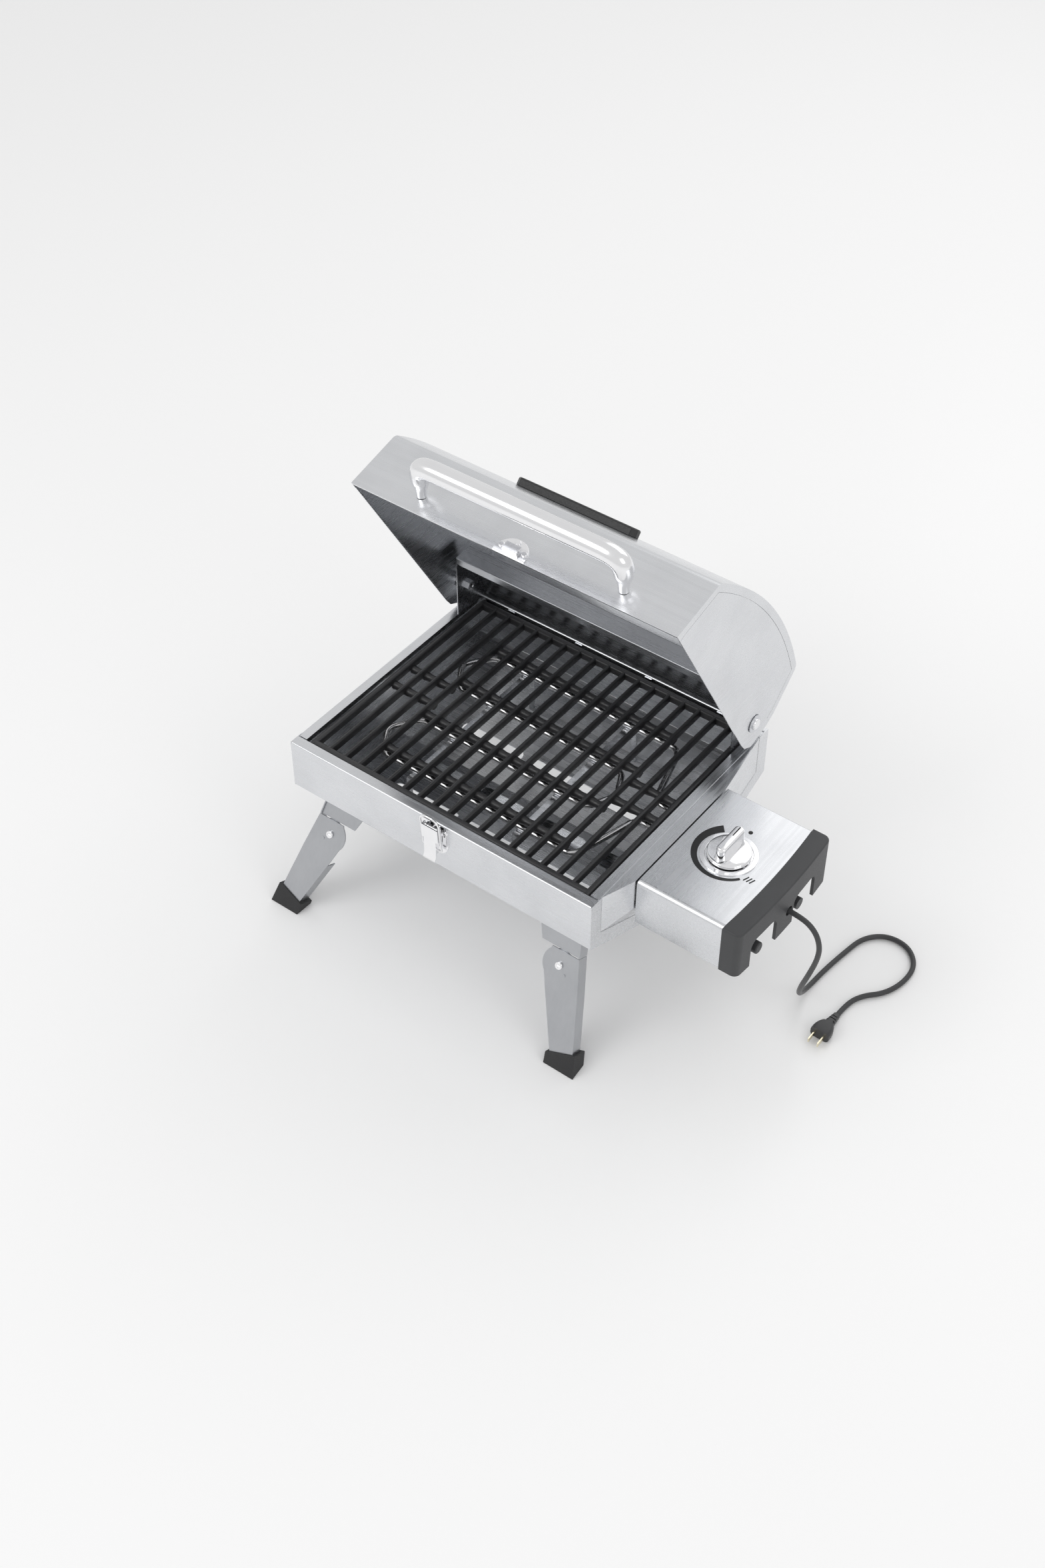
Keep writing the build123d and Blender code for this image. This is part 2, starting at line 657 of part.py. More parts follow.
with BuildPart() as end_cap:
    cap_mid = (BOX_Y0 + BOX_Y1) / 2 + 1
    with BuildSketch(level_plane(-BOX_H)):
        bow(CAP_X, BOX_Y0 - 1, BOX_Y1 + 3, BOX_X1 - 12)
        fillet(vertices().group_by(Axis.X)[-1], radius=9)
        add(bow(BOX_X1, BOX_Y0 - 2, BOX_Y1 + 4, BOX_X1 - 14), mode=Mode.SUBTRACT)
    extrude(amount=BOX_H)
    fillet(end_cap.faces().sort_by(Axis.Z)[-1].edges().sort_by(Axis.X)[-3:], radius=2.5)
    # hollow, open below and towards the box
    with BuildSketch(level_plane(-BOX_H - 1)):
        bow(CAP_X - 4, BOX_Y0 + 2.5, BOX_Y1 - 0.5, BOX_X1 - 14)
    extrude(amount=BOX_H - 2.5, mode=Mode.SUBTRACT)
    # two arched hand and cord cut-outs in the outer face
    for y, wide in ((113.5, 51), (199.5, 49)):
        with BuildSketch(side_plane(CAP_X - 9)):
            with Locations((y, -BOX_H - 1)):
                Rectangle(wide, 40, align=(Align.CENTER, Align.MIN))
            fillet(vertices().group_by(Axis.Y)[-1], radius=12)
        extrude(amount=20, mode=Mode.SUBTRACT)
    with BuildSketch(side_plane(CAP_X - 9)):
        with Locations((165, -42)):
            Circle(6.5)
    extrude(amount=20, mode=Mode.SUBTRACT)
save(end_cap.part, "end_cap")

with BuildPart() as cap_pegs:
    for y in (104, 190):
        rod_along_x(y, -52, 7.5, BOX_X1 + 5, BOX_X1 + 28)
        block(BOX_X1 + 8, BOX_X1 + 16, y - 4, y + 4, -58, -20)
    fillet(cap_pegs.faces().sort_by(Axis.X)[-1].edges(), radius=2)
    block(BOX_X1 + 5, BOX_X1 + 8, BOX_Y0 + 3, BOX_Y1 - 1, -58, -4)
save(cap_pegs.part, "cap_pegs")

with BuildPart() as thermostat:
    block(282, 323, 138, 188, -40, -16)
    rod = (KNOB_X, KNOB_Y)
    with BuildSketch(level_plane(-16)):
        with Locations(rod):
            Circle(11)
    extrude(amount=5)
    block(262, 340, 152, 174, -16, -14.8)
    for x in (262, 338.8):
        block(x, x + 1.2, 152, 174, -16, -1.6)
    with BuildSketch(level_plane(-30)):
        with Locations(rod):
            Circle(3.05)
    extrude(amount=30, mode=Mode.SUBTRACT)
save(thermostat.part, "thermostat")

with BuildPart() as wiring_plate:
    block(BOX_X0 + 1.3, 262, BOX_Y0 + 5, BOX_Y1 - 5, -56, -54.8)
    block(BOX_X0 + 1.3, BOX_X0 + 2.5, BOX_Y0 + 5, BOX_Y1 - 5, -56, -40)
save(wiring_plate.part, "wiring_plate")

with BuildPart() as terminal_block:
    block(262, 280, 190, 236, -42, -26)
    for y in (198, 213, 228):
        with BuildSketch(level_plane(-46)):
            with Locations((271, y)):
                Circle(4)
        extrude(amount=5)
    block(268, 274, 207, 219, -26, -1.5)
save(terminal_block.part, "terminal_block")

with BuildPart() as box_screws:
    for y in (BOX_Y0 + 8, BOX_Y1 - 8):
        for x, radius in ((263, 4.5), (313, 2.8), (341, 2.8)):
            with BuildSketch(level_plane(-BOX_H - 1.9)):
                with Locations((x, y)):
                    Circle(radius)
            extrude(amount=1.85)
save(box_screws.part, "box_screws")

# ---- dial and knob ------------------------------------------------------
with BuildPart() as dial_bezel:
    with BuildSketch(level_plane(-0.15)):
        with Locations((KNOB_X, KNOB_Y)):
            Circle(34.5)
            Circle(28, mode=Mode.SUBTRACT)
    extrude(amount=1.6)
    fillet(dial_bezel.faces().sort_by(Axis.Z)[-1].edges(), radius=0.7)
    with BuildSketch(level_plane(-4)):
        with Locations((KNOB_X, KNOB_Y)):
            Circle(27.5)
            Circle(4, mode=Mode.SUBTRACT)
    extrude(amount=1.2)
    with BuildSketch(level_plane(-4)):
        with Locations((KNOB_X, KNOB_Y)):
            Circle(27.5)
            Circle(26.4, mode=Mode.SUBTRACT)
    extrude(amount=4.6)
    with BuildSketch(level_plane(-0.14)):
        with Locations((KNOB_X, KNOB_Y)):
            Circle(28.4)
            Circle(26.4, mode=Mode.SUBTRACT)
    extrude(amount=0.8)
save(dial_bezel.part, "dial_bezel")


def crescent(start, sweep_by, outer0, outer1, inner0, inner1):
    """Tapering printed arc about the dial centre, given by its radii at both ends."""
    outer = []
    inner = []
    for step in range(13):
        part_way = step / 12
        turn = radians(start + sweep_by * part_way)
        for ring, r0, r1 in ((outer, outer0, outer1), (inner, inner0, inner1)):
            radius = r0 + (r1 - r0) * part_way
            ring.append((KNOB_X + radius * cos(turn), KNOB_Y + radius * sin(turn)))
    with BuildLine() as edge:
        Spline(*outer)
        Line(outer[-1], inner[-1])
        Spline(*inner[::-1])
        Line(inner[0], outer[0])
    return make_face(edge.edges())


with BuildPart() as dial_markings:
    with BuildSketch(level_plane(-0.19)):
        add(crescent(131, 139, 47, 42.5, 36, 37.5))
        add(crescent(270, 51, 42.5, 41, 37.5, 37.6))
        with Locations((KNOB_X + 0.8, KNOB_Y + 44.6)):
            Circle(2.7)
        for step in range(3):
            with Locations((KNOB_X + 36 + 4 * step, KNOB_Y - 20)):
                SlotOverall(9, 1.5, rotation=70)
    extrude(amount=0.25)
save(dial_markings.part, "dial_markings")

with BuildPart() as knob:
    with BuildSketch(level_plane(1.9)):
        with Locations((KNOB_X, KNOB_Y)):
            Circle(26.6)
    extrude(amount=5)
    fillet(knob.faces().sort_by(Axis.Z)[-1].edges(), radius=1.6)
    with BuildSketch(level_plane(6.8)):
        with Locations((KNOB_X, KNOB_Y)):
            SlotOverall(50, 17, rotation=90)
    extrude(amount=21, taper=4)
    fillet(knob.faces().sort_by(Axis.Z)[-1].edges(), radius=2.2)
    block(KNOB_X - 0.9, KNOB_X + 0.9, KNOB_Y + 4, KNOB_Y + 23, 27.5, 28.2)
save(knob.part, "knob")

with BuildPart() as knob_shaft:
    with BuildSketch(level_plane(-28)):
        with Locations((KNOB_X, KNOB_Y)):
            Circle(3)
    extrude(amount=29.9)
save(knob_shaft.part, "knob_shaft")

# ---- power cord and plug ------------------------------------------------
CORD_ROUTE = [
    (382, 165, -42),
    (405, 165, -42),
    (423, 165.5, -54),
    (431, 166, -75),
    (429, 168, -101),
    (418, 174, -142),
    (404, 186, -186),
    (394, 205, -224),
    (389, 236, -246.6),
    (391, 275, -246.6),
    (396, 313, -246.6),
    (402, 349.7, -246.6),
    (424.3, 372, -246.6),
    (455.7, 372, -246.6),
    (478, 349.7, -246.6),
    (480, 318, -246.6),
    (470, 288, -246.6),
    (450, 268, -246.6),
    (441, 246, -246.6),
    (441, 222, -246.6),
]


def bend_radii(route):
    """Radius at each corner so that every tangent arc takes just under half its shorter run."""
    radii = []
    for before, corner, after in zip(route, route[1:], route[2:]):
        back = Vector(*corner) - Vector(*before)
        on = Vector(*after) - Vector(*corner)
        turn = back.get_angle(on)
        radii.append(0.45 * min(back.length, on.length) / tan(radians(turn) / 2))
    return radii


cord_points = [(BODY_X + x, FRONT_Y + y, RIM_H + z) for x, y, z in CORD_ROUTE]
cord_radii = bend_radii(cord_points)

with BuildPart() as power_cord:
    with BuildLine() as run:
        FilletPolyline(*cord_points, radius=cord_radii)
    with BuildSketch(Plane(origin=run.line @ 0, z_dir=run.line % 0)):
        Circle(CORD_D / 2)
    sweep(path=run.line)
save(power_cord.part, "power_cord")
cord_length = sum(piece.length for piece in run.edges())
print("cord length", round(cord_length, 1), "radii", [round(r) for r in cord_radii])
print("cord volume ratio", round(power_cord.part.volume / (cord_length * 3.14159 * CORD_D**2 / 4), 4))

with BuildPart() as cord_gland:
    rod_along_x(165, -42, 6.4, 376, 381.9)
    rod_along_x(165, -42, 8.4, 373.5, 376)
save(cord_gland.part, "cord_gland")

PLUG_X = 441.0
PLUG_Y = 222.0
PLUG_Z = -241.5


def plug_ring(y, half_w, half_h, drop=0.0):
    """Rounded cross-section of the plug at y."""
    plane = front_plane(y)
    with BuildSketch(plane) as ring:
        with Locations((PLUG_X, PLUG_Z + drop)):
            RectangleRounded(2 * half_w, 2 * half_h, min(half_w, half_h) * 0.7)
    return ring.sketch


with BuildPart() as plug_strain_relief:
    loft([plug_ring(PLUG_Y - 0.02, 4.2, 3.9, -4.5).face(), plug_ring(200, 6.5, 6.0, -1.5).face()])
    for y in (216, 211, 206):
        with BuildSketch(front_plane(y)):
            with Locations((PLUG_X, -240)):
                Rectangle(30, 3.2)
        extrude(amount=1.6, mode=Mode.SUBTRACT)
save(plug_strain_relief.part, "plug_strain_relief")

with BuildPart() as plug_body:
    loft([plug_ring(199.95, 8.5, 7.2, -0.8).face(), plug_ring(188, 12.5, 8.2).face(), plug_ring(180, 12.5, 8.2).face()])
save(plug_body.part, "plug_body")

with BuildPart() as plug_blades:
    for side in (-1, 1):
        block(PLUG_X + side * 6.35 - 0.8, PLUG_X + side * 6.35 + 0.8, 164.5, 179.95, PLUG_Z - 3.2, PLUG_Z + 3.2)
save(plug_blades.part, "plug_blades")

# ---- folding legs -------------------------------------------------------
LEG_TOP = 19.2            # leg edge below the bracket, up the leg plane from the pivot
HUB_R = 23.5              # rounded leg top, about the pivot
SLOPE_AT = 56.5           # sloping bottom panel, up the leg plane from the pivot
FLANGE_FROM = 45.0        # the inner flange starts this far from the pivot to clear the bracket
LEG_OUTER = [(22.6, LEG_TOP), (35.3, -30), (52.6, -104)]
LEG_INNER = [(21, -110), (-9.7, -36), (-23.4, -1)]


def leg_plane(depth):
    """Leg plane square to the front slope: local x is +X from the pivot, local y is up the plane."""
    tilt = radians(SLOPE)
    return Plane(
        origin=(
            BODY_X + LEG_PIVOT_X,
            FRONT_Y + LEG_PIVOT_Y + depth * cos(tilt),
            RIM_H + LEG_PIVOT_Z - depth * sin(tilt),
        ),
        x_dir=(1, 0, 0),
        z_dir=(0, -cos(tilt), sin(tilt)),
    )


def leg_slab(points, depth0, depth1, mode=Mode.ADD):
    """Flat piece in the leg plane between two depths behind the leg's front face."""
    with BuildSketch(leg_plane(depth1)) as slab:
        with BuildLine():
            Polyline(*points, close=True)
        make_face()
    extrude(slab.sketch, amount=depth1 - depth0, mode=mode)


def strip(start, end, width):
    """Thin strip to the left of the line from start to end."""
    run = Vector(*end) - Vector(*start)
    side = Vector(-run.Y, run.X).normalized() * width
    return [start, end, (end[0] + side.X, end[1] + side.Y), (start[0] + side.X, start[1] + side.Y)]


def leg_disc(radius, depth0, depth1, at=(0, 0), mode=Mode.ADD):
    """Round piece square to the leg plane."""
    with BuildSketch(leg_plane(depth1)) as disc:
        with Locations(at):
            Circle(radius)
    extrude(disc.sketch, amount=depth1 - depth0, mode=mode)


with BuildPart() as leg:
    leg_slab([(-16, LEG_TOP), *LEG_OUTER, *LEG_INNER], 0, LEG_SHEET)
    leg_disc(HUB_R, 0, LEG_SHEET)
    leg_slab([(-30, LEG_TOP), (30, LEG_TOP), (30, 40), (-30, 40)], -1, LEG_SHEET + 1, Mode.SUBTRACT)
    leg_slab(strip(LEG_OUTER[1], LEG_OUTER[0], LEG_SHEET), 0, LEG_DEPTH)
    leg_slab(strip(LEG_OUTER[2], LEG_OUTER[1], LEG_SHEET), 0, LEG_DEPTH)
    leg_slab(strip((-6.4, -44), LEG_INNER[0], LEG_SHEET), 0, LEG_DEPTH)
    leg_disc(2.2, -0.6, 0.4, at=(9.4, -9.4))
    leg_disc(2.55, -1, LEG_SHEET + 1, mode=Mode.SUBTRACT)
    with BuildSketch(level_plane(-RIM_H - 40)) as ground:
        with Locations((LEG_PIVOT_X, -40)):
            Rectangle(300, 300)
    extrude(ground.sketch, amount=43.5, mode=Mode.SUBTRACT)

with BuildPart() as foot:
    leg_slab([(16.5, -110.5), (55.5, -96.5), (64.5, -139), (19.5, -139)], -2.2, 21)
    fillet(foot.edges().filter_by(GeomType.LINE).sort_by(Axis.Z)[-4:], radius=1.2)
    add(leg.part, mode=Mode.SUBTRACT)
    with BuildSketch(level_plane(-RIM_H - 40)) as ground:
        with Locations((LEG_PIVOT_X, -40)):
            Rectangle(300, 300)
    extrude(ground.sketch, amount=40, mode=Mode.SUBTRACT)

BRACKET_LOW = 20.3
PLATE_AT = LEG_SHEET + LEG_GAP

with BuildPart() as leg_bracket:
    leg_slab(
        [(-48, SLOPE_AT), (-38.7, 35), (-32.5, BRACKET_LOW), (22.3, BRACKET_LOW), (20, 35), (16.5, SLOPE_AT)],
        PLATE_AT, PLATE_AT + LEG_SHEET,
    )
    leg_disc(20.5, PLATE_AT, PLATE_AT + LEG_SHEET)
    leg_slab(strip((22.3, BRACKET_LOW), (20, 35), LEG_SHEET), 0, LEG_DEPTH)
    leg_slab(strip((20, 35), (16.5, SLOPE_AT), LEG_SHEET), 0, LEG_DEPTH)
    leg_slab(
        [(-48, SLOPE_AT - LEG_SHEET), (16.5, SLOPE_AT - LEG_SHEET), (16.5, SLOPE_AT), (-48, SLOPE_AT)],
        PLATE_AT, LEG_DEPTH,
    )
    leg_disc(2.5, 0, PLATE_AT + LEG_SHEET + 1, mode=Mode.SUBTRACT)

with BuildPart() as leg_screw:
    leg_disc(2.5, -0.3, PLATE_AT + LEG_SHEET)
    leg_disc(5, -2.9, -0.3)
    leg_disc(4.2, PLATE_AT + LEG_SHEET, PLATE_AT + LEG_SHEET + 3)
    for across, up in ((2.6, 0.55), (0.55, 2.6)):
        leg_slab([(-across, -up), (across, -up), (across, up), (-across, up)], -4, -1.7, Mode.SUBTRACT)
    fillet(leg_screw.edges().filter_by(GeomType.CIRCLE).sort_by(Axis.Y)[:1], radius=1.0)

middle_x = Plane.YZ.offset(BODY_X)
middle_y = Plane.XZ.offset(-FRONT_Y - MID_Y)
for source, name in ((leg.part, "leg"), (foot.part, "foot"), (leg_bracket.part, "leg_bracket")):
    save(source, f"{name}_front_right")
    save(mirror(source, about=middle_x), f"{name}_front_left")
    save(mirror(source, about=middle_y), f"{name}_rear_right")
    save(mirror(mirror(source, about=middle_x), about=middle_y), f"{name}_rear_left")

with BuildPart() as leg_screws:
    add(leg_screw.part)
    mirror(about=middle_x)
    mirror(about=middle_y)
save(leg_screws.part, "leg_screws")
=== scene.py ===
"""Portable tabletop electric grill: finishes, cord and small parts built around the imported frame."""

import logging
import math
from dataclasses import dataclass, field
from enum import Enum

import bmesh
import bpy
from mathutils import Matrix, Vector


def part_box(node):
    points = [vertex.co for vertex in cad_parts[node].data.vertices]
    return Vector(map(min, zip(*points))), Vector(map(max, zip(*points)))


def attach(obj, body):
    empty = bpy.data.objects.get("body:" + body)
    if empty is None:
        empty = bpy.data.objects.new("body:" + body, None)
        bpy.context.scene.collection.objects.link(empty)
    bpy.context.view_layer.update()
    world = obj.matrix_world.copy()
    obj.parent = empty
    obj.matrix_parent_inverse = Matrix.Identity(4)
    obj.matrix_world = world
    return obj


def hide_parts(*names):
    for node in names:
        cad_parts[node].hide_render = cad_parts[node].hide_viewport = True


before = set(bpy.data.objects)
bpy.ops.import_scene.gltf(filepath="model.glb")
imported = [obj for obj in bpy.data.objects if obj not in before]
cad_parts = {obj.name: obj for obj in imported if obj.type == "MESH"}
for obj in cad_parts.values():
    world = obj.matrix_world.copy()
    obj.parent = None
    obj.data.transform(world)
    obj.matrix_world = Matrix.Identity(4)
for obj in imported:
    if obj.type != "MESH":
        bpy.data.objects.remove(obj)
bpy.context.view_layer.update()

logging.basicConfig(level=logging.INFO, format="%(message)s")
log = logging.getLogger("grill")

MM = 0.001

COAT_ROUGHNESS = 0.12
BUMP_DEPTH = 0.4 * MM
GRAIN_WEIGHT = 0.6            # share of the fine grain in the colour, beside the broad blotches
FINE_OCTAVES = 2.5
BROAD_OCTAVES = 3.0
BROAD_STRETCH = (9.0, 9.0, 9.0)
FINE_FROM = 20                # a stretch above this is a fine grain
NOISE_LOW = 0.3
NOISE_HIGH = 0.7
LEAST_ROUGHNESS = 0.02
MERGE_WITHIN = 1e-6
FLAT_WITHIN = math.radians(0.6)
EDGE_SEGMENTS = 3


class Grain(Enum):
    """Direction that a brushed or moulded surface runs in, as a stretch along X, Y and Z."""

    ALONG_X = (6.0, 260.0, 260.0)
    ALONG_Y = (260.0, 6.0, 260.0)
    ALONG_Z = (260.0, 260.0, 6.0)
    EVEN = (140.0, 140.0, 140.0)


@dataclass(frozen=True)
class Finish:
    """One procedural finish: colour, gloss, and the fine texture that the real surface has."""

    name: str
    light: tuple[float, float, float]
    dark: tuple[float, float, float]
    metallic: float
    roughness: float
    grain: Grain = Grain.EVEN
    roughness_spread: float = 0.08
    bump: float = 0.05
    texture_scale: float = 1.0
    blotch: float = 0.25
    coat: float = 0.0

    def build(self) -> bpy.types.Material:
        """Make the node material.

        Returns:
            The finished Blender material.
        """
        material = bpy.data.materials.new(self.name)
        material.use_nodes = True
        tree = material.node_tree
        shader = tree.nodes["Principled BSDF"]
        shader.inputs["Metallic"].default_value = self.metallic
        shader.inputs["Coat Weight"].default_value = self.coat
        shader.inputs["Coat Roughness"].default_value = COAT_ROUGHNESS
        fine = self._noise(tree, [s * self.texture_scale for s in self.grain.value], FINE_OCTAVES)
        broad = self._noise(tree, BROAD_STRETCH, BROAD_OCTAVES)
        colour = tree.nodes.new("ShaderNodeMix")
        colour.data_type = "RGBA"
        colour.inputs["A"].default_value = (*self.dark, 1)
        colour.inputs["B"].default_value = (*self.light, 1)
        blend = self._range(tree, broad, 0.5 - self.blotch, 0.5 + self.blotch)
        total = tree.nodes.new("ShaderNodeMath")
        total.operation = "MULTIPLY_ADD"
        total.use_clamp = True
        tree.links.new(fine, total.inputs[0])
        total.inputs[1].default_value = GRAIN_WEIGHT
        tree.links.new(blend, total.inputs[2])
        tree.links.new(total.outputs[0], colour.inputs["Factor"])
        tree.links.new(colour.outputs["Result"], shader.inputs["Base Color"])
        spread = self._range(
            tree, fine, self.roughness - self.roughness_spread, self.roughness + self.roughness_spread
        )
        tree.links.new(spread, shader.inputs["Roughness"])
        bump = tree.nodes.new("ShaderNodeBump")
        bump.inputs["Strength"].default_value = self.bump
        bump.inputs["Distance"].default_value = BUMP_DEPTH
        tree.links.new(fine, bump.inputs["Height"])
        tree.links.new(bump.outputs["Normal"], shader.inputs["Normal"])
        return material

    @staticmethod
    def _noise(tree: bpy.types.NodeTree, stretch: tuple[float, ...], detail: float) -> bpy.types.NodeSocket:
        """Noise stretched along one direction of the object's own coordinates.

        Args:
            tree: The node tree to add to.
            stretch: Scale along X, Y and Z, per metre.
            detail: Octaves of detail.

        Returns:
            The noise's factor socket.
        """
        place = tree.nodes.new("ShaderNodeTexCoord")
        scaled = tree.nodes.new("ShaderNodeMapping")
        scaled.inputs["Scale"].default_value = stretch
        noise = tree.nodes.new("ShaderNodeTexNoise")
        noise.inputs["Scale"].default_value = 1.0 if max(stretch) > FINE_FROM else 2.0
        noise.inputs["Detail"].default_value = detail
        tree.links.new(place.outputs["Object"], scaled.inputs["Vector"])
        tree.links.new(scaled.outputs["Vector"], noise.inputs["Vector"])
        return noise.outputs["Fac"]

    @staticmethod
    def _range(
        tree: bpy.types.NodeTree, source: bpy.types.NodeSocket, low: float, high: float
    ) -> bpy.types.NodeSocket:
        """Spread a noise's usable middle over a range.

        Args:
            tree: The node tree to add to.
            source: The noise factor.
            low: Value at the noise's low end.
            high: Value at the noise's high end.

        Returns:
            The mapped socket.
        """
        mapped = tree.nodes.new("ShaderNodeMapRange")
        mapped.inputs["From Min"].default_value = NOISE_LOW
        mapped.inputs["From Max"].default_value = NOISE_HIGH
        mapped.inputs["To Min"].default_value = max(low, LEAST_ROUGHNESS)
        mapped.inputs["To Max"].default_value = high
        tree.links.new(source, mapped.inputs["Value"])
        return mapped.outputs["Result"]


STEEL_X = Finish(
    "brushed_sheet_along_x", (0.74, 0.75, 0.77), (0.63, 0.64, 0.66), 1.0, 0.27, Grain.ALONG_X, 0.05, 0.015
)
STEEL_Y = Finish(
    "brushed_sheet_along_y", (0.74, 0.75, 0.77), (0.63, 0.64, 0.66), 1.0, 0.27, Grain.ALONG_Y, 0.05, 0.015
)
STEEL_Z = Finish(
    "brushed_leg_sheet", (0.50, 0.51, 0.53), (0.41, 0.42, 0.44), 1.0, 0.33, Grain.ALONG_Z, 0.05, 0.02
)
# Painted shade: a darker copy of the brushed steel for the rear guard and its end plates, standing for the
# shade behind the grate.
SHADED_GUARD_STEEL = Finish(
    "guard_steel_painted_shade", (0.42, 0.43, 0.45), (0.30, 0.30, 0.31),
    1.0, 0.26, Grain.ALONG_X, 0.06, 0.04,
)
ZINC = Finish(
    "zinc_plated_steel", (0.74, 0.75, 0.77), (0.55, 0.56, 0.60),
    1.0, 0.28, Grain.EVEN, 0.10, 0.05,
)
POLISHED = Finish(
    "polished_plate", (0.93, 0.93, 0.94), (0.84, 0.84, 0.86),
    1.0, 0.10, Grain.EVEN, 0.04, 0.02,
)
SATIN_TUBE = Finish(
    "satin_tube", (0.90, 0.90, 0.91), (0.82, 0.82, 0.84),
    1.0, 0.17, Grain.ALONG_X, 0.05, 0.04,
)
CASTING = Finish(
    "black_enamelled_casting", (0.030, 0.030, 0.032), (0.010, 0.010, 0.011),
    0.0, 0.42, Grain.EVEN, 0.12, 0.35, 5.0, 0.3, 0.15,
)
MOULDING = Finish(
    "textured_black_moulding", (0.050, 0.051, 0.054), (0.030, 0.031, 0.033),
    0.0, 0.48, Grain.EVEN, 0.10, 0.30, 9.0, 0.2,
)
RUBBER = Finish(
    "moulded_rubber", (0.030, 0.030, 0.031), (0.014, 0.014, 0.015),
    0.0, 0.62, Grain.EVEN, 0.10, 0.30, 6.0,
)
VINYL = Finish(
    "cord_vinyl", (0.045, 0.046, 0.048), (0.025, 0.025, 0.027),
    0.0, 0.40, Grain.EVEN, 0.08, 0.12, 4.0,
)
ENAMEL = Finish(
    "flat_black_paint", (0.012, 0.012, 0.013), (0.005, 0.005, 0.005),
    0.0, 0.40, Grain.EVEN, 0.08, 0.10, 5.0,
)
INSULATOR = Finish(
    "moulded_insulator", (0.66, 0.61, 0.52), (0.52, 0.47, 0.39),
    0.0, 0.55, Grain.EVEN, 0.1, 0.2, 4.0,
)
BLADE = Finish(
    "plated_brass_blade", (0.86, 0.80, 0.62), (0.74, 0.66, 0.45),
    1.0, 0.22, Grain.ALONG_Y, 0.06, 0.06,
)
CHROME = Finish(
    "mirror_plate", (0.95, 0.95, 0.96), (0.88, 0.88, 0.90),
    1.0, 0.06, Grain.EVEN, 0.03, 0.01,
)
ELEMENT = Finish(
    "element_sheath", (0.70, 0.70, 0.71), (0.45, 0.44, 0.44),
    1.0, 0.24, Grain.EVEN, 0.10, 0.15,
)


@dataclass(frozen=True)
class Datum:
    """Reference corner of the firebox: its middle across, its front panel and its rim."""

    x: float
    y: float
    z: float

    @classmethod
    def from_firebox(cls) -> "Datum":
        """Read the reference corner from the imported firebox."""
        low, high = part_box("firebox_shell")
        return cls((low.x + high.x) / 2, low.y, high.z)

    def at(self, x: float, y: float, z: float) -> Vector:
        """Turn a place measured from the firebox into the row frame, in metres."""
        return Vector((self.x + x, self.y + y, self.z + z))


@dataclass
class Wardrobe:
    """Builds each finish once and dresses nodes and pieces in it."""

    made: dict[str, bpy.types.Material] = field(default_factory=dict)

    def material(self, finish: Finish) -> bpy.types.Material:
        """Return the finish's material, made on first use.

        Args:
            finish: The finish wanted.

        Returns:
            Its Blender material.
        """
        if finish.name not in self.made:
            self.made[finish.name] = finish.build()
        return self.made[finish.name]

    def dress(self, obj: bpy.types.Object, finish: Finish) -> None:
        """Give an object one finish all over.

        Args:
            obj: Mesh or curve object.
            finish: The finish to wear.
        """
        obj.data.materials.clear()
        obj.data.materials.append(self.material(finish))


@dataclass
class SheetMetal:
    """Every carried-over metal, cast and moulded node, with the finish each one wears."""

    wardrobe: Wardrobe
    finishes: dict[str, Finish] = field(
        default_factory=lambda: {
            "firebox_shell": STEEL_X,
            "side_panel_left": STEEL_Y,
            "side_panel_right": STEEL_Y,
            # The rear guard and its end plates wear the darker steel copy, which is painted shade.
            "rear_guard": SHADED_GUARD_STEEL,
            "guard_end_plates": SHADED_GUARD_STEEL,
            "lid_shell": STEEL_X,
            "lid_end_left": STEEL_Y,
            "lid_end_right": STEEL_Y,
            "control_box": STEEL_Y,
            "wiring_plate": ZINC,
            "grease_tray": STEEL_X,
            "tray_rails": ZINC,
            "grate_rests": ZINC,
            "element_supports": ZINC,
            "hinge_bolts": POLISHED,
            "hinge_washers": ZINC,
            "hinge_bushings": ZINC,
            "hinge_nuts": ZINC,
            "handle_screws": ZINC,
            "leg_screws": POLISHED,
            "box_screws": ZINC,
            "knob_shaft": ZINC,
            "heating_element": ELEMENT,
            "carry_handle": POLISHED,
            "latch_base": POLISHED,
            "latch_lever": POLISHED,
            "latch_bail": POLISHED,
            "latch_rivets": POLISHED,
            "strike_plate": POLISHED,
            "strike_screws": POLISHED,
            "lid_handle": SATIN_TUBE,
            "dial_bezel": POLISHED,
            "knob": POLISHED,
            "cooking_grate": CASTING,
            "end_cap": MOULDING,
            "cap_pegs": MOULDING,
            "cord_gland": VINYL,
            "plug_body": VINYL,
            "plug_strain_relief": VINYL,
            "plug_blades": BLADE,
            "dial_markings": ENAMEL,
            "lid_badge": ENAMEL,
            "thermostat": INSULATOR,
            "terminal_block": INSULATOR,
        }
    )

    def build(self) -> None:
        """Dress every node, legs and feet included."""
        for name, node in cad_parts.items():
            if name.startswith("foot_"):
                self.wardrobe.dress(node, RUBBER)
            elif name.startswith("leg_") and name not in self.finishes:
                self.wardrobe.dress(node, STEEL_Z)
            elif name in self.finishes:
                self.wardrobe.dress(node, self.finishes[name])
            log.info("dressed %s", name)


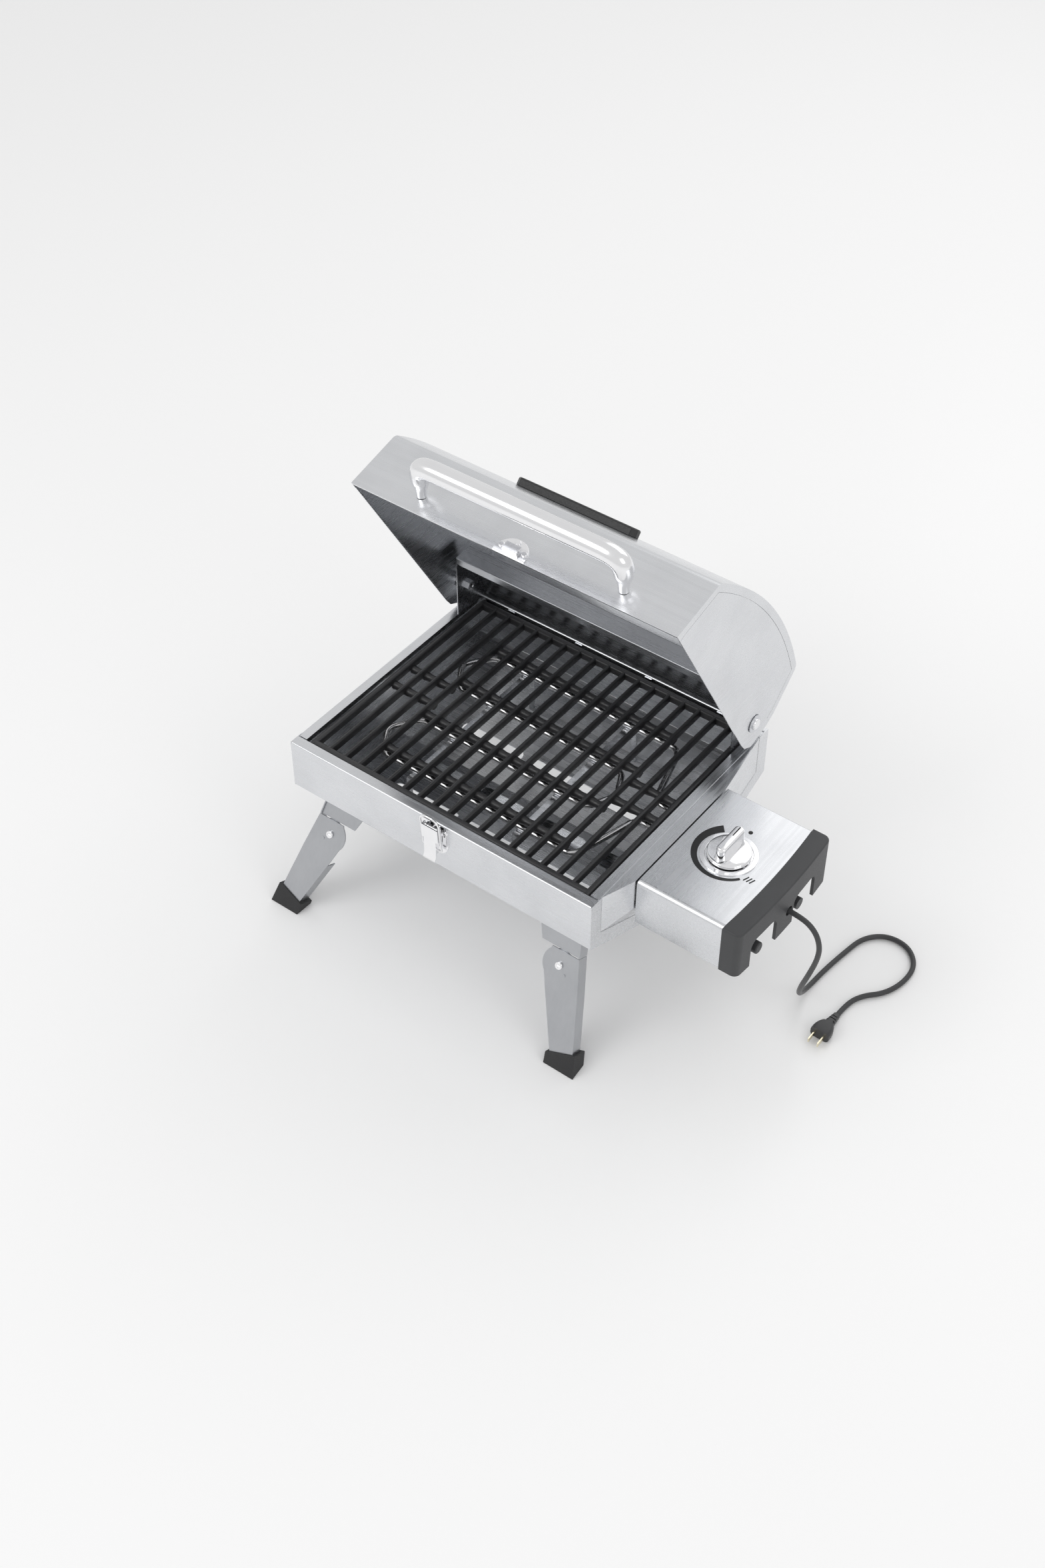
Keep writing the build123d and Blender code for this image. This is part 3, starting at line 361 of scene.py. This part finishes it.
@dataclass
class PowerCord:
    """The free cord from the end cap down to the plug on the surface."""

    datum: Datum
    wardrobe: Wardrobe
    diameter: float = 6.6 * MM
    length: float = 0.60
    route: tuple[tuple[float, float, float], ...] = (
        (0.382, 0.165, -0.042),
        (0.405, 0.165, -0.042),
        (0.423, 0.1655, -0.054),
        (0.431, 0.166, -0.075),
        (0.429, 0.168, -0.101),
        (0.418, 0.174, -0.142),
        (0.404, 0.186, -0.186),
        (0.394, 0.205, -0.224),
        (0.389, 0.236, -0.2466),
        (0.391, 0.275, -0.2466),
        (0.396, 0.313, -0.2466),
        (0.402, 0.3497, -0.2466),
        (0.4243, 0.372, -0.2466),
        (0.4557, 0.372, -0.2466),
        (0.478, 0.3497, -0.2466),
        (0.480, 0.318, -0.2466),
        (0.470, 0.288, -0.2466),
        (0.450, 0.268, -0.2466),
        (0.441, 0.246, -0.2466),
        (0.441, 0.222, -0.2466),
    )

    def build(self) -> bpy.types.Object:
        """Lay the cord as one smooth spline.

        Returns:
            The cord's curve object.
        """
        curve = bpy.data.curves.new("cord_sheath", "CURVE")
        curve.dimensions = "3D"
        curve.bevel_depth = self.diameter / 2
        curve.bevel_resolution = 6
        curve.resolution_u = 12
        curve.use_fill_caps = True
        spline = curve.splines.new("NURBS")
        spline.points.add(len(self.route) - 1)
        for point, place in zip(spline.points, self.route):
            point.co = (*self.datum.at(*place), 1)
        spline.order_u = 3
        spline.use_endpoint_u = True
        cord = bpy.data.objects.new("cord_sheath", curve)
        bpy.context.scene.collection.objects.link(cord)
        self.wardrobe.dress(cord, VINYL)
        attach(cord, "housing")
        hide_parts("power_cord")
        self.datum.at(*self.route[0])
        log.info("laid the power cord")
        return cord


@dataclass
class Workbench:
    """Turns bmesh shapes and curves into finished pieces that ride on a body."""

    wardrobe: Wardrobe
    smooth_angle: float = math.radians(38)

    def piece(
        self,
        name: str,
        shape: bmesh.types.BMesh,
        finish: Finish,
        body: str,
        stands_for: tuple[str, ...],
        slot: str,
        edge: float = 0.0,
    ) -> bpy.types.Object:
        """Finish a bmesh shape as one piece.

        Args:
            name: The piece's name.
            shape: The shape, in metres, freed here.
            finish: The finish it wears.
            body: The body it rides on.
            stands_for: CAD nodes that it stands for.
            slot: Material slot name; not used.
            edge: Width of the softened edges, zero for none.

        Returns:
            The piece's object.
        """
        bmesh.ops.recalc_face_normals(shape, faces=shape.faces)
        mesh = bpy.data.meshes.new(name)
        shape.to_mesh(mesh)
        shape.free()
        mesh.polygons.foreach_set("use_smooth", [True] * len(mesh.polygons))
        mesh.set_sharp_from_angle(angle=self.smooth_angle)
        made = bpy.data.objects.new(name, mesh)
        bpy.context.scene.collection.objects.link(made)
        if edge:
            soften = made.modifiers.new("soft_edges", "BEVEL")
            soften.width = edge
            soften.segments = EDGE_SEGMENTS
            soften.limit_method = "ANGLE"
            soften.angle_limit = self.smooth_angle
            soften.harden_normals = True
        self.wardrobe.dress(made, finish)
        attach(made, body)
        if stands_for:
            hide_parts(*stands_for)
        log.info("made %s", name)
        return made

    def softened(self, node: str, finish: Finish, body: str, slot: str, edge: float) -> bpy.types.Object:
        """Remake a pressed or moulded part with its edges rolled over.

        Args:
            node: The CAD node that gives the shape.
            finish: The finish it wears.
            body: The body it rides on.
            slot: Material slot name, passed on to piece, which does not use it.
            edge: Width of the softened edges.

        Returns:
            The piece's object.
        """
        shape = bmesh.new()
        shape.from_mesh(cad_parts[node].data)
        bmesh.ops.remove_doubles(shape, verts=shape.verts, dist=MERGE_WITHIN)
        bmesh.ops.dissolve_limit(shape, angle_limit=FLAT_WITHIN, verts=shape.verts, edges=shape.edges)
        return self.piece(f"{node}_formed", shape, finish, body, (node,), slot, edge)

    def tube(
        self,
        name: str,
        path: list[tuple[Vector, float]],
        finish: Finish,
        body: str,
        stands_for: tuple[str, ...],
        slot: str,
    ) -> bpy.types.Object:
        """Draw a bent tube whose radius changes along it.

        Args:
            name: The piece's name.
            path: Control points with the tube's radius at each.
            finish: The finish it wears.
            body: The body it rides on.
            stands_for: CAD nodes that it stands for.
            slot: Material slot name; not used.

        Returns:
            The tube's curve object.
        """
        curve = bpy.data.curves.new(name, "CURVE")
        curve.dimensions = "3D"
        curve.bevel_depth = 1.0
        curve.bevel_resolution = 10
        curve.resolution_u = 10
        curve.use_fill_caps = True
        spline = curve.splines.new("NURBS")
        spline.points.add(len(path) - 1)
        for point, (place, radius) in zip(spline.points, path):
            point.co = (*place, 1)
            point.radius = radius
        spline.order_u = 3
        spline.use_endpoint_u = True
        made = bpy.data.objects.new(name, curve)
        bpy.context.scene.collection.objects.link(made)
        self.wardrobe.dress(made, finish)
        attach(made, body)
        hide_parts(*stands_for)
        log.info("bent %s", name)
        return made


def loft(shape: bmesh.types.BMesh, rings: list[list[Vector]]) -> None:
    """Skin a row of equal closed rings and cap both ends.

    Args:
        shape: The shape to add to.
        rings: Rings of points, each with the same count.
    """
    rows = [[shape.verts.new(p) for p in ring] for ring in rings]
    count = len(rows[0])
    for low, high in zip(rows, rows[1:]):
        for i in range(count):
            j = (i + 1) % count
            shape.faces.new((low[i], low[j], high[j], high[i]))
    shape.faces.new(rows[0][::-1])
    shape.faces.new(rows[-1])


def lathe(
    shape: bmesh.types.BMesh, profile: list[tuple[float, float]], base: Vector, axis: Vector, steps: int
) -> None:
    """Turn a profile about an axis.

    Args:
        shape: The shape to add to.
        profile: Radius and height of each ring, in millimetres.
        base: Where height zero is, in metres.
        axis: Unit direction of the height.
        steps: Points round each ring.
    """
    side = axis.orthogonal().normalized()
    other = axis.cross(side)
    turns = [2 * math.pi * k / steps for k in range(steps)]
    spokes = [side * math.cos(t) + other * math.sin(t) for t in turns]
    loft(
        shape,
        [[base + spoke * radius * MM + axis * height * MM for spoke in spokes] for radius, height in profile],
    )


@dataclass
class CookingGrate:
    """Cast grate: an outer rail, crowned bars front to back, and swelling cross ties."""

    bench: Workbench
    bars: int = 17
    pitch: float = 22.8
    bar_width: float = 5.0
    bar_height: float = 11.0
    rail_width: float = 7.4
    end_rail: float = 8.8
    end_round: float = 0.8
    bar_inset: float = 4.0
    rail_inset: float = 2.0
    tie_radius: float = 6.1
    tie_lift: float = 6.2
    tie_rows: tuple[tuple[float, float, float], ...] = (
        (18.5, -201.7, -136.8),
        (18.5, 136.8, 201.7),
        (37.0, -136.8, 136.8),
        (111.0, -136.8, 136.8),
    )

    def bar(self, shape: bmesh.types.BMesh, start: Vector, end: Vector, width: float) -> None:
        """Cast one crowned bar between two places on the grate's top.

        Args:
            shape: The shape to add to.
            start: One end of the bar's top line.
            end: The other end.
            width: The bar's width, in millimetres.
        """
        run = (end - start).normalized()
        across = Vector((run.y, -run.x, 0))
        half = width / 2
        low = -self.bar_height
        outline = [
            (-0.82 * half, low), (0.82 * half, low), (half, low + 2), (half, -2.4),
            (0.86 * half, -1.1), (0.56 * half, -0.3), (0, 0), (-0.56 * half, -0.3),
            (-0.86 * half, -1.1), (-half, -2.4), (-half, low + 2),
        ]
        rounding = run * self.end_round * MM
        rings = []
        for place, share in ((start, 0.8), (start + rounding, 1), (end - rounding, 1), (end, 0.8)):
            rings.append([place + across * u * share * MM + Vector((0, 0, v * MM)) for u, v in outline])
        loft(shape, rings)

    def tie(self, shape: bmesh.types.BMesh, y: float, z: float, middle: float, x0: float, x1: float) -> None:
        """Cast one cross tie that swells where it meets each bar.

        Args:
            shape: The shape to add to.
            y: The tie's place front to back, in metres.
            z: Its height, in metres.
            middle: The grate's middle, in metres.
            x0: Left end from the middle, in millimetres.
            x1: Right end from the middle, in millimetres.
        """
        count = max(8, round((x1 - x0) / self.pitch * 6))
        profile = []
        for k in range(count + 1):
            x = x0 + (x1 - x0) * k / count
            swell = 0.5 + 0.5 * math.cos(2 * math.pi * x / self.pitch)
            profile.append((self.tie_radius * (0.80 + 0.20 * swell), x - x0))
        lathe(shape, profile, Vector((middle + x0 * MM, y, z)), Vector((1, 0, 0)), 20)

    def build(self) -> None:
        """Cast the grate as one piece."""
        low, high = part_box("cooking_grate")
        middle = (low.x + high.x) / 2
        centre = (low.y + high.y) / 2
        shape = bmesh.new()
        for k in range(self.bars):
            x = middle + (k - (self.bars - 1) / 2) * self.pitch * MM
            start = Vector((x, low.y + self.bar_inset * MM, high.z))
            end = Vector((x, high.y - self.bar_inset * MM, high.z))
            self.bar(shape, start, end, self.bar_width)
        for x in (low.x + self.rail_width * MM / 2, high.x - self.rail_width * MM / 2):
            self.bar(shape, Vector((x, low.y, high.z)), Vector((x, high.y, high.z)), self.rail_width)
        for y in (low.y + self.end_rail * MM / 2, high.y - self.end_rail * MM / 2):
            start = Vector((low.x + self.rail_inset * MM, y, high.z))
            end = Vector((high.x - self.rail_inset * MM, y, high.z))
            self.bar(shape, start, end, self.end_rail)
        for side in (-1, 1):
            for row, x0, x1 in self.tie_rows:
                self.tie(shape, centre + side * row * MM, low.z + self.tie_lift * MM, middle, x0, x1)
        self.bench.piece("grate_casting", shape, CASTING, "grate", ("cooking_grate",), "cast_iron")


@dataclass
class HeatKnob:
    """Plated knob: a turned skirt and a waisted grip with a pointer line."""

    bench: Workbench
    skirt: tuple[tuple[float, float], ...] = (
        (25.0, 0.0), (26.4, 0.5), (26.6, 1.2), (26.6, 3.4), (26.1, 4.3),
        (25.0, 4.9), (22.0, 5.3), (14.0, 5.9), (6.0, 6.2),
    )
    grip: tuple[tuple[float, float, float], ...] = (
        (24.6, 10.6, 4.6), (24.2, 8.6, 6.4), (24.3, 7.4, 10.0), (24.5, 6.7, 16.0), (24.3, 6.5, 21.0),
        (23.6, 6.1, 24.0), (22.6, 5.1, 25.5), (21.2, 3.6, 26.1),
    )
    skirt_steps: int = 96
    grip_steps: int = 64
    line_ends: tuple[tuple[float, float], ...] = ((4.0, 0.75), (20.5, 0.95))
    line_heights: tuple[float, float] = (25.6, 26.25)
    line_edge: float = 0.2

    def build(self) -> None:
        """Make the knob and its pointer line."""
        low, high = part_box("knob")
        centre = Vector(((low.x + high.x) / 2, (low.y + high.y) / 2, low.z))
        up = Vector((0, 0, 1))
        shape = bmesh.new()
        lathe(shape, list(self.skirt), centre, up, self.skirt_steps)
        turns = [2 * math.pi * k / self.grip_steps for k in range(self.grip_steps)]
        rings = []
        for length, width, height in self.grip:
            straight = length - width
            ring = []
            for turn in turns:
                y = width * math.sin(turn) + math.copysign(straight, math.sin(turn))
                ring.append(centre + Vector((width * math.cos(turn), y, height)) * MM)
            rings.append(ring)
        loft(shape, rings)
        self.bench.piece("knob_turned", shape, CHROME, "knob", ("knob",), "bright_metal")
        line = bmesh.new()
        levels = [
            [centre + Vector((side * half, y, height)) * MM for y, half in self.line_ends for side in (-1, 1)]
            for height in self.line_heights
        ]
        loft(line, [[ring[0], ring[1], ring[3], ring[2]] for ring in levels])
        self.bench.piece(
            "knob_pointer_line", line, ENAMEL, "knob", (), "black_enamel", self.line_edge * MM
        )


@dataclass
class LidFrame:
    """Places on the lid's front face with the lid standing open."""

    datum: Datum
    pivot: tuple[float, float] = (330.0, 39.0)
    corner: tuple[float, float] = (-322.8, -31.5)
    fold: tuple[float, float] = (-300.2, 49.1)
    lean: float = 60.0

    def face(self, x: float, off: float, along: float) -> Vector:
        """Place a point on or off the front face.

        Args:
            x: From the grill's middle, in millimetres.
            off: Out from the face.
            along: Up the face from its lower edge.

        Returns:
            The place in the row frame, in metres.
        """
        run = Vector((self.fold[0] - self.corner[0], self.fold[1] - self.corner[1])).normalized()
        y = self.corner[0] + run.x * along - run.y * off
        z = self.corner[1] + run.y * along + run.x * off
        turn = math.radians(self.lean)
        back = self.pivot[0] + y * math.cos(turn) + z * math.sin(turn)
        rise = self.pivot[1] - y * math.sin(turn) + z * math.cos(turn)
        return self.datum.at(x * MM, back * MM, rise * MM)


@dataclass
class LidHandle:
    """Bowed tube handle that necks down to a round post at each end.

    Each row of half_path gives how far in from the end a point is, how far out from the face, the tube's
    radius there, and how far up the face, all in millimetres.
    """

    bench: Workbench
    lid: LidFrame
    along: float = 30.0
    half: float = 140.5
    half_path: tuple[tuple[float, float, float, float], ...] = (
        (0.0, 0.15, 6.5, -5.0),
        (0.0, 7.0, 6.6, -4.2),
        (0.0, 13.0, 7.8, -3.0),
        (0.0, 20.0, 11.2, -1.2),
        (0.2, 30.0, 12.2, 0.0),
        (3.0, 41.5, 12.4, 0.0),
        (14.0, 47.0, 12.4, 0.0),
        (34.0, 47.4, 12.4, 0.0),
        (80.0, 47.4, 12.4, 0.0),
    )

    def build(self) -> None:
        """Bend the handle."""
        left = [
            (self.lid.face(-self.half + inward, off, self.along + drop), radius * MM)
            for inward, off, radius, drop in self.half_path
        ]
        right = [
            (self.lid.face(self.half - inward, off, self.along + drop), radius * MM)
            for inward, off, radius, drop in reversed(self.half_path)
        ]
        self.bench.tube("lid_handle_tube", left + right, SATIN_TUBE, "lid", ("lid_handle",), "bright_metal")


@dataclass
class FormedParts:
    """Moulded and pressed parts whose real edges are rolled or softened."""

    bench: Workbench
    parts: tuple[tuple[str, Finish, str, str, float], ...] = (
        ("end_cap", MOULDING, "housing", "dark_plastic", 1.4 * MM),
        ("cap_pegs", MOULDING, "housing", "dark_plastic", 1.0 * MM),
        ("lid_badge", ENAMEL, "lid", "black_enamel", 0.7 * MM),
        ("control_box", STEEL_Y, "housing", "stainless", 0.5 * MM),
        ("firebox_shell", STEEL_X, "housing", "stainless", 0.4 * MM),
        ("lid_shell", STEEL_X, "lid", "stainless", 0.4 * MM),
        ("latch_lever", POLISHED, "latch_lever", "bright_metal", 0.35 * MM),
        ("strike_plate", POLISHED, "lid", "bright_metal", 0.3 * MM),
    )
    corners: tuple[str, ...] = ("front_right", "front_left", "rear_right", "rear_left")

    def build(self) -> None:
        """Remake each part with soft edges, feet and legs included."""
        for node, finish, body, slot, edge in self.parts:
            self.bench.softened(node, finish, body, slot, edge)
        for corner in self.corners:
            self.bench.softened(f"foot_{corner}", RUBBER, f"leg_{corner}", "rubber_black", 1.5 * MM)
            self.bench.softened(f"leg_{corner}", STEEL_Z, f"leg_{corner}", "zinc_steel", 0.4 * MM)


@dataclass
class Studio:
    """Plain pale floor, soft lights and the camera."""

    datum: Datum
    camera_place: tuple[float, float, float] = (1.1072, -1.2937, 1.7358)
    azimuth: float = 37.12
    elevation: float = 44.56
    lens: float = 47.8
    sensor: float = 36.0
    floor_half: float = 12.0
    floor_drop: float = 0.5 * MM
    floor_colour: tuple[float, float, float, float] = (0.97, 0.97, 0.97, 1.0)
    floor_roughness: float = 0.32
    floor_gloss: float = 0.55
    aim: tuple[float, float, float] = (0.0, 0.0, 0.25)
    sky: float = 0.76
    lamps: tuple[tuple[str, tuple[float, float, float], float, float], ...] = (
        ("key_light", (-1.2, -2.2, 2.6), 1.6, 21),
        ("fill_light", (2.4, -0.6, 1.8), 1.2, 6),
        ("back_light", (0.2, 2.4, 2.2), 2.4, 13),
    )

    def camera(self) -> None:
        """Stand the camera at the front right, looking down."""
        data = bpy.data.cameras.new("studio_camera")
        data.lens = self.lens
        data.sensor_width = self.sensor
        data.clip_end = 50
        camera = bpy.data.objects.new("studio_camera", data)
        camera.location = self.datum.at(*self.camera_place)
        camera.rotation_euler = (math.radians(90 - self.elevation), 0, math.radians(self.azimuth))
        bpy.context.scene.collection.objects.link(camera)
        bpy.context.scene.camera = camera

    def light(self, name: str, place: tuple[float, float, float], size: float, power: float) -> None:
        """Hang one soft square light aimed at the grill.

        Args:
            name: The light's name.
            place: Where it hangs, in metres.
            size: Side of the square.
            power: Watts.
        """
        data = bpy.data.lights.new(name, "AREA")
        data.size = size
        data.energy = power
        lamp = bpy.data.objects.new(name, data)
        lamp.location = place
        lamp.rotation_euler = (Vector(self.aim) - Vector(place)).to_track_quat("-Z", "Y").to_euler()
        bpy.context.scene.collection.objects.link(lamp)

    def floor(self) -> None:
        """Lay a wide flat pale floor under the grill."""
        mesh = bpy.data.meshes.new("studio_floor")
        shape = bmesh.new()
        bmesh.ops.create_grid(shape, x_segments=1, y_segments=1, size=self.floor_half)
        shape.to_mesh(mesh)
        shape.free()
        floor = bpy.data.objects.new("studio_floor", mesh)
        floor.location.z = -self.floor_drop
        bpy.context.scene.collection.objects.link(floor)
        material = bpy.data.materials.new("pale_floor")
        material.use_nodes = True
        shader = material.node_tree.nodes["Principled BSDF"]
        shader.inputs["Base Color"].default_value = self.floor_colour
        shader.inputs["Roughness"].default_value = self.floor_roughness
        shader.inputs["Specular IOR Level"].default_value = self.floor_gloss
        mesh.materials.append(material)

    def build(self) -> None:
        """Set the whole studio up."""
        self.camera()
        self.floor()
        for name, place, size, power in self.lamps:
            self.light(name, place, size, power)
        world = bpy.data.worlds.new("studio_world")
        world.use_nodes = True
        background = world.node_tree.nodes["Background"]
        background.inputs["Color"].default_value = (1, 1, 1, 1)
        background.inputs["Strength"].default_value = self.sky
        bpy.context.scene.world = world
        bpy.context.scene.view_settings.view_transform = "Standard"
        log.info("studio is up")


def main() -> None:
    """Build the studio, the cord, every finish and the detailed pieces in order."""
    datum = Datum.from_firebox()
    wardrobe = Wardrobe()
    Studio(datum).build()
    PowerCord(datum, wardrobe).build()
    SheetMetal(wardrobe).build()
    bench = Workbench(wardrobe)
    CookingGrate(bench).build()
    HeatKnob(bench).build()
    LidHandle(bench, LidFrame(datum)).build()
    FormedParts(bench).build()


if __name__ == "__main__":
    main()
